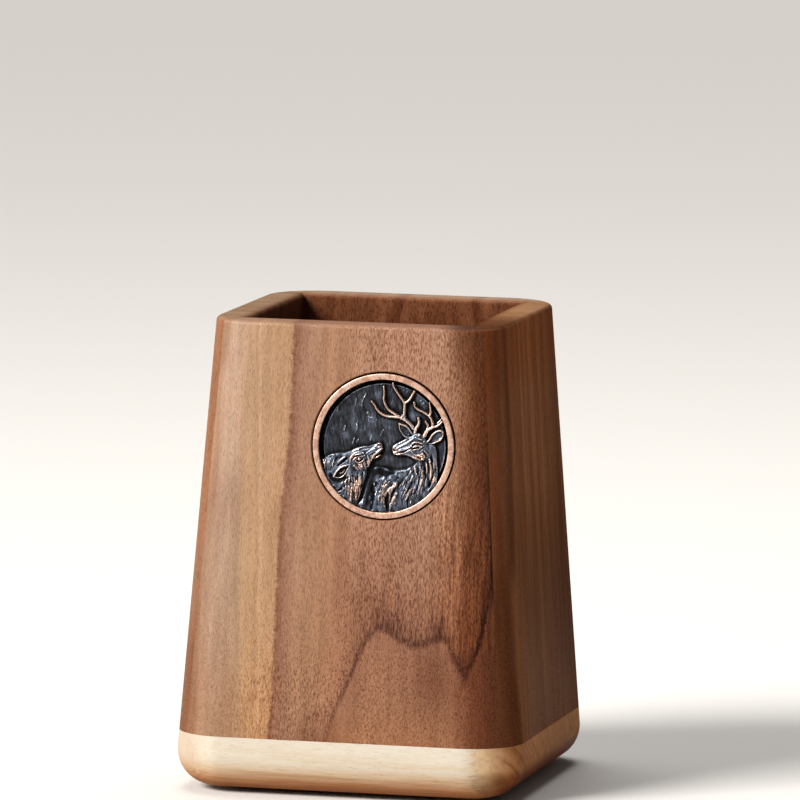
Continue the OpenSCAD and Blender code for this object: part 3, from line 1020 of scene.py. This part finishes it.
def arched_figure(x, z):
    """Flat-sawn: nested arches of ring lines, from growth rings that lean through the board."""
    depth = z * 0.16 + 3
    wander = grain(x, z, 0.05, 0.02, 21, detail=3)
    ring = ((x + 6) * (x + 6) + depth * depth) ** 0.5 + wander * 7
    lines = grain(ring, 0, 0.32, 0, 11, detail=3, roughness=0.6)
    colour = lines.shades((0.34, 92, 58, 42), (0.44, 118, 80, 60), (0.54, 132, 93, 71),
                          (0.66, 142, 104, 80))
    return colour, 0.7


def pale_figure(x, z):
    """Rift-sawn: soft upright stripes, paler towards the front corner."""
    drift = x + z * 0.05
    stripes = grain(drift, z, 0.22, 0.004, 2, detail=4, roughness=0.6)
    colour = stripes.shades((0.34, 100, 66, 48), (0.46, 120, 83, 61), (0.56, 130, 93, 69),
                            (0.66, 140, 103, 79))
    colour = colour.blend(x.span(24, 34, 0, 0.85), shade(124, 87, 62))
    corner = x.span(20, 28)
    colour = colour.tints(
        (corner * z.span(55, 80), 1.08, 1.02, 0.96),
        (corner * z.span(52, 30), 0.76, 0.66, 0.55))
    return colour, 0.5


# Tints of each board's rim end grain: the front's darkens it, the others lighten it as painted highlights
RIM_TINTS_AND_HIGHLIGHTS = ((0.82, 0.8, 0.8), (1.32, 1.95, 2.4), (1.25, 1.7, 2), (1.08, 1.38, 1.48))
RIM_COLOURS = (shade(139, 100, 77), shade(108, 66, 42), shade(126, 88, 66), shade(124, 87, 64))
SPECULAR = (0.08, 0, 0.05, 0.08)


def walnut(name, side, figure):
    """Oiled walnut: a board's figure under fine streaks and open pores, with darker end grain on the rim."""
    paint = Paint(name)
    point = paint.place(90 * side)
    shift = (31 * side, 0, 17 * side)
    x, y, z = point.split()
    waver = point.noise(0.08, 0.08, 0.014, shift)
    mitre_gap = x + y
    x = x + (waver - 0.5) * 3
    colour, openness = figure(x, z)
    open_grain = paint.add("Math", openness, 0, operation="ADD")
    if side == 0:
        joint = mitre_gap.near(-0.2, 1) * z.span(46, 56) * z.span(98, 70, 0.15, 0.9)
        colour = colour.tint(joint, (0.34, 0.27, 0.3))

    broad = point.noise(0.45, 0.45, 0.02, shift, detail=3)
    colour = colour.tint(1, broad.tones((0.35, 0.88, 0.86, 0.84), (0.65, 1.08, 1.08, 1.08)))
    slant = point.noise(0.1, 0.1, 0.05, shift, detail=1)
    leaning = x + (slant - 0.5) * 4
    fibre = paint.add("CombineXYZ", leaning, y, z)
    fine = fibre.noise(3.7, 3.7, 0.6, shift, detail=3, roughness=0.65)
    colour = colour.tint(open_grain.span(0.2, 1, 0.35, 1),
                         fine.tones((0.35, 0.76, 0.7, 0.66), (0.6, 1.1, 1.1, 1.1)))

    specks = fibre.noise(3.6, 3.6, 1.9, shift, detail=3, roughness=0.7)
    colour = colour.tint(z.span(62, 36, 0.25, 1),
                         specks.tones((0.37, 0.8, 0.73, 0.68), (0.58, 1.09, 1.09, 1.09)))

    dashes = fibre.noise(4, 4, 0.8, shift)
    dots = fibre.noise(3.2, 3.2, 1.4, shift, roughness=0.6)
    low = z.span(50, 34)
    if side == 0:
        low = low * x.span(-9, 4, 0.25, 1)
    pores = paint.add("Mix", low, None, dashes, dots) + (open_grain - 0.5) * 0.06
    pore = pores.span(0.54, 0.63)
    coarse = open_grain.span(0.2, 0.9, 0.3, 0.95)
    colour = colour.tint(pore * coarse, (0.56, 0.42, 0.36))

    upright = paint.add("NewGeometry", out=1).split()[2]
    end_grain = upright.span(0.5, 0.9)
    colour = colour.blend(end_grain * 0.45, RIM_COLOURS[side])
    # the rim's tint, a painted highlight on all but the front board
    colour = colour.tint(end_grain, RIM_TINTS_AND_HIGHLIGHTS[side])
    # painted shadow across the rim's end grain towards the front right corner
    if side < 2:
        corner_painted_shade = x.span(20, 30) if side == 0 else x.span(14, -24)
        colour = colour.tint(end_grain * corner_painted_shade, (0.38, 0.28, 0.26))
    # painted highlight along the rounded edges of the rim
    arris_painted_highlight = upright.near(0.55, 0.35) * fine.span(0.38, 0.62, 0.2, 1)
    colour = colour.tint(arris_painted_highlight, (1.1, 1.14, 1.17))

    # painted shade: the inner face, inside the cup, is darker
    outer = (RIM_HALF + SLOPE * RIM) / MM - z * SLOPE
    colour = colour.tint((y + outer).span(6, 8.6), (0.68, 0.52, 0.4))
    if side == 0:
        _, distance, depth = point.to_seat()
        # painted shade, near black, down the wall of the medallion's pocket
        pocket_painted_shade = distance.span(POCKET_R / MM + 0.06, POCKET_R / MM) * depth.span(-5.2, -4.6)
        colour = colour.tint(pocket_painted_shade, (0.06, 0.05, 0.05))

    roughness = pore * 0.15 + fine.span(0.3, 0.7, 0.4, 0.5)
    height = fine * 0.35 - pore
    return paint.finish(colour, roughness, height, 0.00004, Specular_IOR_Level=SPECULAR[side])


def beech(name, upright=False):
    """Pale beech: short flecks along the grain, painted warm shade along the lower edge, and ring arcs on
    the end grain.
    """
    paint = Paint(name)
    point = paint.place()
    if upright:
        point = paint.add("Mapping", point, None, (0, math.radians(90), 0))
    x, y, z = point.split()
    # painted shade: the colour turns warm brown towards the bottom, along the lower round
    colour = z.shades((2.5, 152, 101, 67), (4, 176, 131, 96), (6.5, 188, 165, 138), (9, 188, 177, 160),
                      (15, 189, 181, 168))
    ring = ((y - 70) ** 2 + (z + 46) ** 2) ** 0.5 + point.noise(0.02, 0.08, 0.08) * 5
    rings = grain(ring, x, 0.55, 0.006, detail=3, roughness=0.6)
    colour = colour.tint(1, rings.tones((0.36, 0.96, 0.92, 0.87), (0.5, 1, 1, 1), (0.64, 1.02, 1.02, 1.02)))

    flecks = point.noise(0.42, 2.6, 2.6, detail=3, roughness=0.65)
    fleck = flecks.span(0.55, 0.7)
    colour = colour.tint(fleck * 0.45, shade(240, 205, 178))
    streaks = point.noise(0.05, 1.5, 1.5, (4, 4, 4), detail=3, roughness=0.6)
    streak = streaks.span(0.46, 0.62) * z.span(8.5, 5)
    colour = colour.tint(streak, (0.84, 0.74, 0.64))
    fine = point.noise(0.25, 3.5, 3.5)
    colour = colour.tint(1, fine.tones((0.35, 0.95, 0.93, 0.9), (0.65, 1.02, 1.02, 1.02)))

    # end grain on the right: darker than the face grain, and browner still as painted shade where it turns
    # from the light, with slanted bands behind the corner
    facing = paint.add("NewGeometry", out=1).split()[0]
    fringe = point.noise(0.2, 1.3, 1.3, (2, 6, 1), detail=3, roughness=0.6)
    edge = facing + (fringe - 0.5) * 0.6
    end = facing.shades((0.3, 192, 168, 138), (0.52, 203, 169, 130), (0.69, 204, 158, 117),
                        (0.83, 188, 134, 92), (0.93, 168, 113, 70), (0.99, 156, 103, 62))
    slanted = y + z * 1.3
    bands = grain(slanted, x, 0.3, 0.02, 5)
    banded = facing.span(0.62, 0.9) * y.span(-12, -26, 0.2, 1)
    end = end.tint(banded, bands.tones((0.42, 0.74, 0.68, 0.64), (0.54, 1.1, 1.1, 1.1)))
    end = end.tint(y.span(-34, -18), (1.24, 1.24, 1.1))
    blotches = point.noise(0.35, 0.35, 0.5, (8, 3, 2), detail=4, roughness=0.65)
    end = end.tint(0.8, blotches.tones((0.4, 0.86, 0.8, 0.75), (0.58, 1.08, 1.07, 1.06)))
    # painted shade on the rounded corner and along the bottom of the end
    corner_painted_shade = facing.span(0.35, 0.7) * facing.span(0.99, 0.88, 0.5, 1)
    end = end.tints((corner_painted_shade * z.span(10.2, 6.2), 0.5, 0.37, 0.3), (z.span(9.5, 7), 0.78, 0.72, 0.66),
                    (z.span(7.5, 3), 0.55, 0.36, 0.28))
    colour = colour.blend(edge.span(0.16, 0.34), end)
    colour = colour.tint(facing.span(-0.15, -0.65), (0.8, 0.72, 0.67))
    roughness = fine.span(0.3, 0.7, 0.45, 0.55)
    height = fine * 0.5 - fleck * 0.5
    return paint.finish(colour, roughness, height, 0.00003, Specular_IOR_Level=0.03)


def brushed_copper():
    """Copper with short brush marks round the ring's face and a mottled bloom, with painted shade, near
    black, down its sides.
    """
    paint = Paint("brushed_copper")
    point = paint.place()
    angle, distance, height = point.to_seat()
    brush = grain(angle, distance, 26, 5, detail=3, roughness=0.7)
    radial = grain(angle, distance, 70, 0.8, 4)
    bloom = point.noise(0.7, 0.7, 0.7, detail=4, roughness=0.65)
    marks = brush * 0.5 + radial * 0.5
    colour = marks.shades((0.38, 190, 146, 126), (0.5, 218, 180, 158), (0.62, 238, 208, 190))
    colour = colour.tint(bloom.span(0.42, 0.6, 0, 0.8), shade(206, 186, 180))
    # painted shade, near black, down the ring's sides below its face
    black = height.span(0, -0.3)
    colour = colour.blend(black, shade(24, 22, 22))
    roughness = marks.span(0.35, 0.65, 0.52, 0.38).top(black * 0.7)
    return paint.finish(colour, roughness, marks, 0.00003, Metallic=1)


def old_bronze():
    """Blue-black patina, black in hollows and painted shade, painted highlights on edges, rubbed through to
    copper in places.
    """
    paint = Paint("old_bronze")
    point = paint.place()
    stand = paint.add("Attribute", out=2, attribute_name="stand")
    rub = paint.add("Attribute", out=2, attribute_name="rubbed")
    mottle = point.noise(2.6, 2.6, 1.6, detail=3, roughness=0.65)
    cloud = point.noise(0.35, 0.35, 0.25, (3, 5, 7), detail=3, roughness=0.6)
    streak = point.noise(2.8, 2.8, 0.5, (9, 2, 4), detail=3, roughness=0.6)
    tone = cloud * 0.85 + streak * 0.15
    patina = tone.shades((0.36, 29, 29, 32), (0.5, 51, 53, 59), (0.64, 86, 92, 104))
    x, _, z = point.split()
    sheen = x.near(7.2, 7) * z.near(97.2, 9)
    patina = patina.tint(sheen * streak.span(0.36, 0.58, 0.3, 1), (2, 2.1, 2.2))
    raised = paint.add("Attribute", out=2, attribute_name="raised")
    # painted sheen: the raised bodies are lighter blue grey in clouds
    raised_painted_sheen = raised * cloud.span(0.38, 0.58, 0.05, 0.75)
    patina = patina.blend(raised_painted_sheen, shade(88, 97, 112))
    uneven = stand + (mottle - 0.5) * 0.22
    # partly a lighter patina on what stands out, partly painted highlight, blue grey
    slate_and_painted_highlight = patina.blend(uneven.span(0, 0.15), shade(90, 99, 114))
    # painted highlight: near white on the edges and ridges that stand out most
    colour = slate_and_painted_highlight.blend(uneven.span(0.06, 0.24), shade(204, 208, 216))
    copper = mottle.shades((0.35, 200, 150, 122), (0.65, 244, 210, 188))
    bared = (uneven + rub * 0.28).span(0.16, 0.4)
    colour = colour.blend(bared * 0.9, copper)
    # black in the hollows: patina in the close hollows, painted shade round the tall forms and down the gap
    hollow = stand.span(0.015, -0.105)
    colour = colour.tint(hollow, shade(58, 56, 60))
    speckle = point.noise(5, 5, 5)
    roughness = stand.span(-0.15, 0.2, 0.5, 0.26) + speckle * 0.12
    return paint.finish(colour, roughness, speckle, 0.00002, Metallic=0.85)


def felt():
    """Pressed felt: matt, with a fibrous nap."""
    paint = Paint("grey_felt")
    point = paint.place()
    fibre = point.noise(3, 3, 3, detail=5, roughness=0.75, bend=1.5)
    colour = fibre.shades((0.35, 52, 46, 42), (0.65, 92, 84, 78))
    return paint.finish(colour, fibre.span(0.3, 0.7, 0.95, 0.85), fibre, 0.0001, Sheen_Weight=0.3)


def adhesive():
    """Grey foam tape, with small open cells."""
    paint = Paint("foam_adhesive")
    point = paint.place()
    cells = paint.add("TexVoronoi", point.stretch(2.2, 2.2, 2.2))
    colour = cells.shades((0.1, 96, 96, 98), (0.6, 150, 150, 152))
    return paint.finish(colour, cells.span(0, 0.6, 0.8, 0.6), cells, 0.00008)


def studio_floor():
    paint = Paint("studio_floor")
    return paint.finish((0.62, 0.6, 0.57), 0.8)


def show(piece, node, material):
    """Puts a piece in place of its CAD node."""
    piece.data.materials.clear()
    piece.data.materials.append(material)
    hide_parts(node)
    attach(piece, "root")


FIGURES = (
    ("front_board", front_figure), ("right_board", side_figure),
    ("back_board", arched_figure), ("left_board", pale_figure))

for side, (node, figure) in enumerate(FIGURES):
    show(board("walnut_" + node, side), node, walnut("walnut_" + node, side, figure))
show(base(), "base", beech("beech"))
show(ring(), "medallion_ring", brushed_copper())
show(plate(), "relief_plate", old_bronze())
show(felt_feet(), "feet", felt())

for node, material in (("base_dowels", beech("beech_dowels", True)), ("medallion_adhesive", adhesive())):
    for slot in frame["nodes"][node].material_slots:
        slot.material = material

# ---------------------------------------------------------------- stage, lights and camera

CUP_MIDDLE = Vector((0, 0, (UNDERSIDE + RIM) / 2))


def floor():
    size = 3
    mesh = bpy.data.meshes.new("floor")
    corners = [(-size, -size, 0), (size, -size, 0), (size, size, 0), (-size, size, 0)]
    mesh.from_pydata(corners, [], [(0, 1, 2, 3)])
    piece = in_scene("floor", mesh)
    piece.data.materials.append(studio_floor())


def area_light(name, place, size, power):
    """A soft box that faces the cup."""
    data = bpy.data.lights.new(name, "AREA")
    data.shape = "RECTANGLE"
    data.size, data.size_y = size
    data.energy = power
    lamp = in_scene(name, data)
    lamp.location = place
    lamp.rotation_euler = (CUP_MIDDLE - lamp.location).to_track_quat("-Z", "Y").to_euler()


def camera():
    """Stands at the photograph's viewing angle, with a long lens."""
    azimuth, elevation, roll = (math.radians(a) for a in (13.65, 6.93, 0.68))
    distance = 2.449
    forward = Vector((-math.sin(azimuth) * math.cos(elevation),
                      math.cos(azimuth) * math.cos(elevation), -math.sin(elevation)))
    right = forward.cross(Vector((0, 0, 1))).normalized()
    up = right.cross(forward)
    turned_right = math.cos(roll) * right + math.sin(roll) * up
    turned_up = math.cos(roll) * up - math.sin(roll) * right
    aim = CUP_MIDDLE + 4.4 * MM * turned_right + 36.2 * MM * turned_up
    data = bpy.data.cameras.new("camera")
    data.sensor_width = 36
    data.lens = 427.5
    data.clip_start = 0.1
    data.clip_end = 20
    cam = in_scene("camera", data)
    place = aim - distance * forward
    cam.matrix_world = Matrix((
        (turned_right.x, turned_up.x, -forward.x, place.x),
        (turned_right.y, turned_up.y, -forward.y, place.y),
        (turned_right.z, turned_up.z, -forward.z, place.z),
        (0, 0, 0, 1)))
    bpy.context.scene.camera = cam


def world():
    studio = bpy.data.worlds.new("studio")
    bpy.context.scene.world = studio
    studio.use_nodes = True
    colour, strength = studio.node_tree.nodes["Background"].inputs[:2]
    colour.default_value = (1, 1, 1, 1)
    strength.default_value = 0.12


def sun(name, azimuth, elevation, strength, angle, colour):
    """A soft distant light. Azimuth is from the front, positive to the right, in degrees."""
    data = bpy.data.lights.new(name, "SUN")
    data.energy = strength
    data.angle = math.radians(angle)
    data.color = colour
    a, e = math.radians(azimuth), math.radians(elevation)
    towards = Vector((math.sin(a) * math.cos(e), -math.cos(a) * math.cos(e), math.sin(e)))
    in_scene(name, data).rotation_euler = towards.to_track_quat("Z", "Y").to_euler()


floor()
world()
sun("key", -44, 36, 5.2, 25, (1, 0.98, 0.95))
area_light("left_box", (-1.1, -0.7, 0.55), (0.5, 0.9), 8)
area_light("top_box", (-0.1, 0.25, 1.1), (0.7, 0.5), 9)
camera()
bpy.context.scene.view_settings.view_transform = "Standard"
